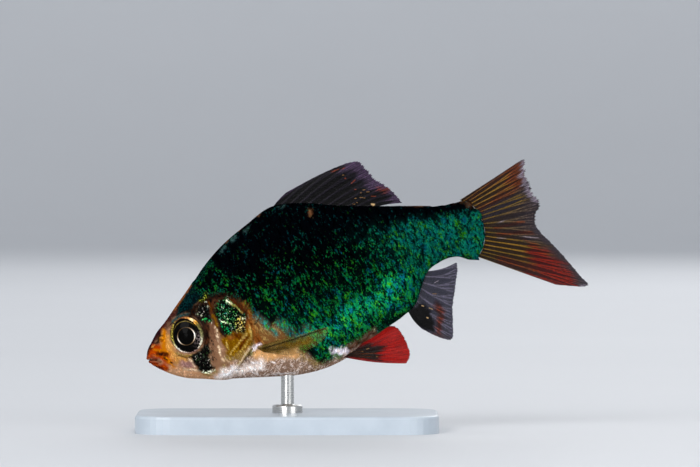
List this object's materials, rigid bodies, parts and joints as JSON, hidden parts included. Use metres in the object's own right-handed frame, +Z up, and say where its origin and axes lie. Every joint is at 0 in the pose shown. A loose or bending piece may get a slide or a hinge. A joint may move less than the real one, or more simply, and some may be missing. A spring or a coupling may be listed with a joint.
{
  "type": "tiger barb",
  "caption": "Small deep-bodied aquarium fish, moss-green tiger barb form, nose-down as it feeds, as a still life-size display model on a flat base with a short rod.",
  "frame": {"origin": "middle of the display stand's flat underside, on the surface that it stands on", "axes": "+X from head to tail, +Y to the fish's right side, +Z up"},
  "size_m": [0.0628, 0.024, 0.0378],
  "materials": {
    "head_skin": "wet satin skin",
    "jaw_skin": "wet satin skin",
    "gill_plate": "brassy skin over bone",
    "eye": "clear lens over a dark iris",
    "trunk_skin": "scaled, satin with bright flecks",
    "dark_fin": "thin wet membrane",
    "pale_fin": "thin wet membrane",
    "red_fin": "thin wet membrane",
    "stand_base": "satin gloss",
    "stand_rod": "brushed"
  },
  "bodies": {
    "root": {"head": "head_skin", "lower_jaw": "jaw_skin", "gill_cover_left": "gill_plate", "gill_cover_right": "gill_plate", "eye_left": "eye", "eye_right": "eye", "torso": "trunk_skin", "tail_base": "trunk_skin", "dorsal_fin": "dark_fin", "tail_fin": "pale_fin", "anal_fin": "dark_fin", "pelvic_fin_left": "red_fin", "pelvic_fin_right": "red_fin", "pectoral_fin_left": "pale_fin", "pectoral_fin_right": "pale_fin", "stand_base": "stand_base", "stand_rod": "stand_rod"}
  },
  "joints": []
}
